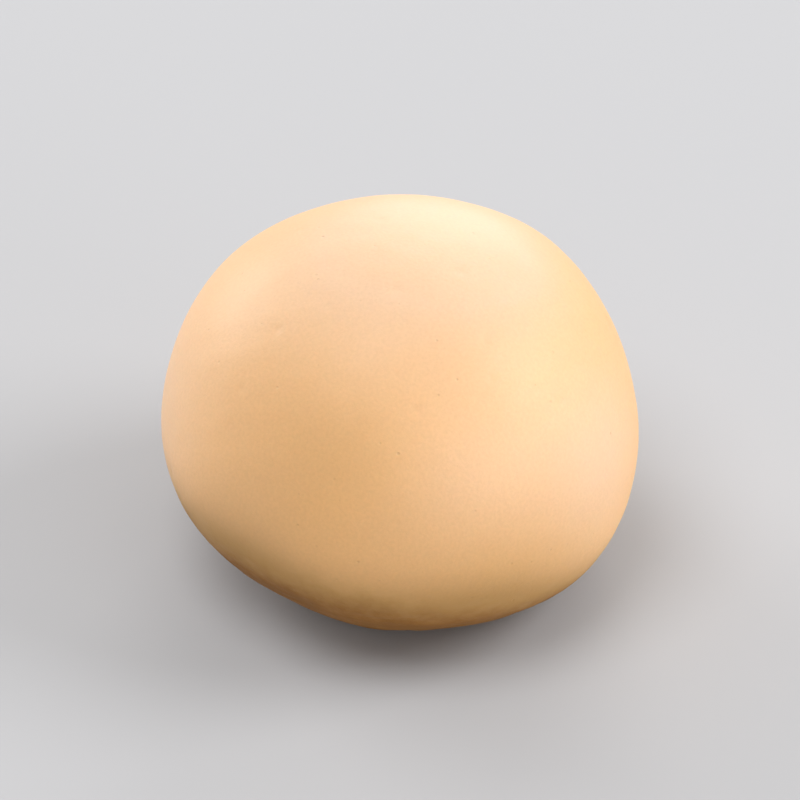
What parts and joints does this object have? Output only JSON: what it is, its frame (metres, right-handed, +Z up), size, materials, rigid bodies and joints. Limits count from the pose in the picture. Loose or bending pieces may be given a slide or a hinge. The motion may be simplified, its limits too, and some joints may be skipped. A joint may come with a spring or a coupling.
{
  "type": "chestnut manju",
  "caption": "Whole baked manju, a small round sweet bun with a smooth pale skin, a low domed form and a flat base it stands on.",
  "frame": {"origin": "on the flat base's plane, under the middle of the bun's footprint", "axes": "+Z up through the crown, +X to the right in the picture's view, +Y away from the viewer"},
  "size_m": [0.0482, 0.048, 0.0384],
  "materials": {
    "baked_dough": "satin baked dough, cream to peach, browned at the foot and base"
  },
  "bodies": {
    "root": {"bun": "baked_dough"}
  },
  "joints": []
}
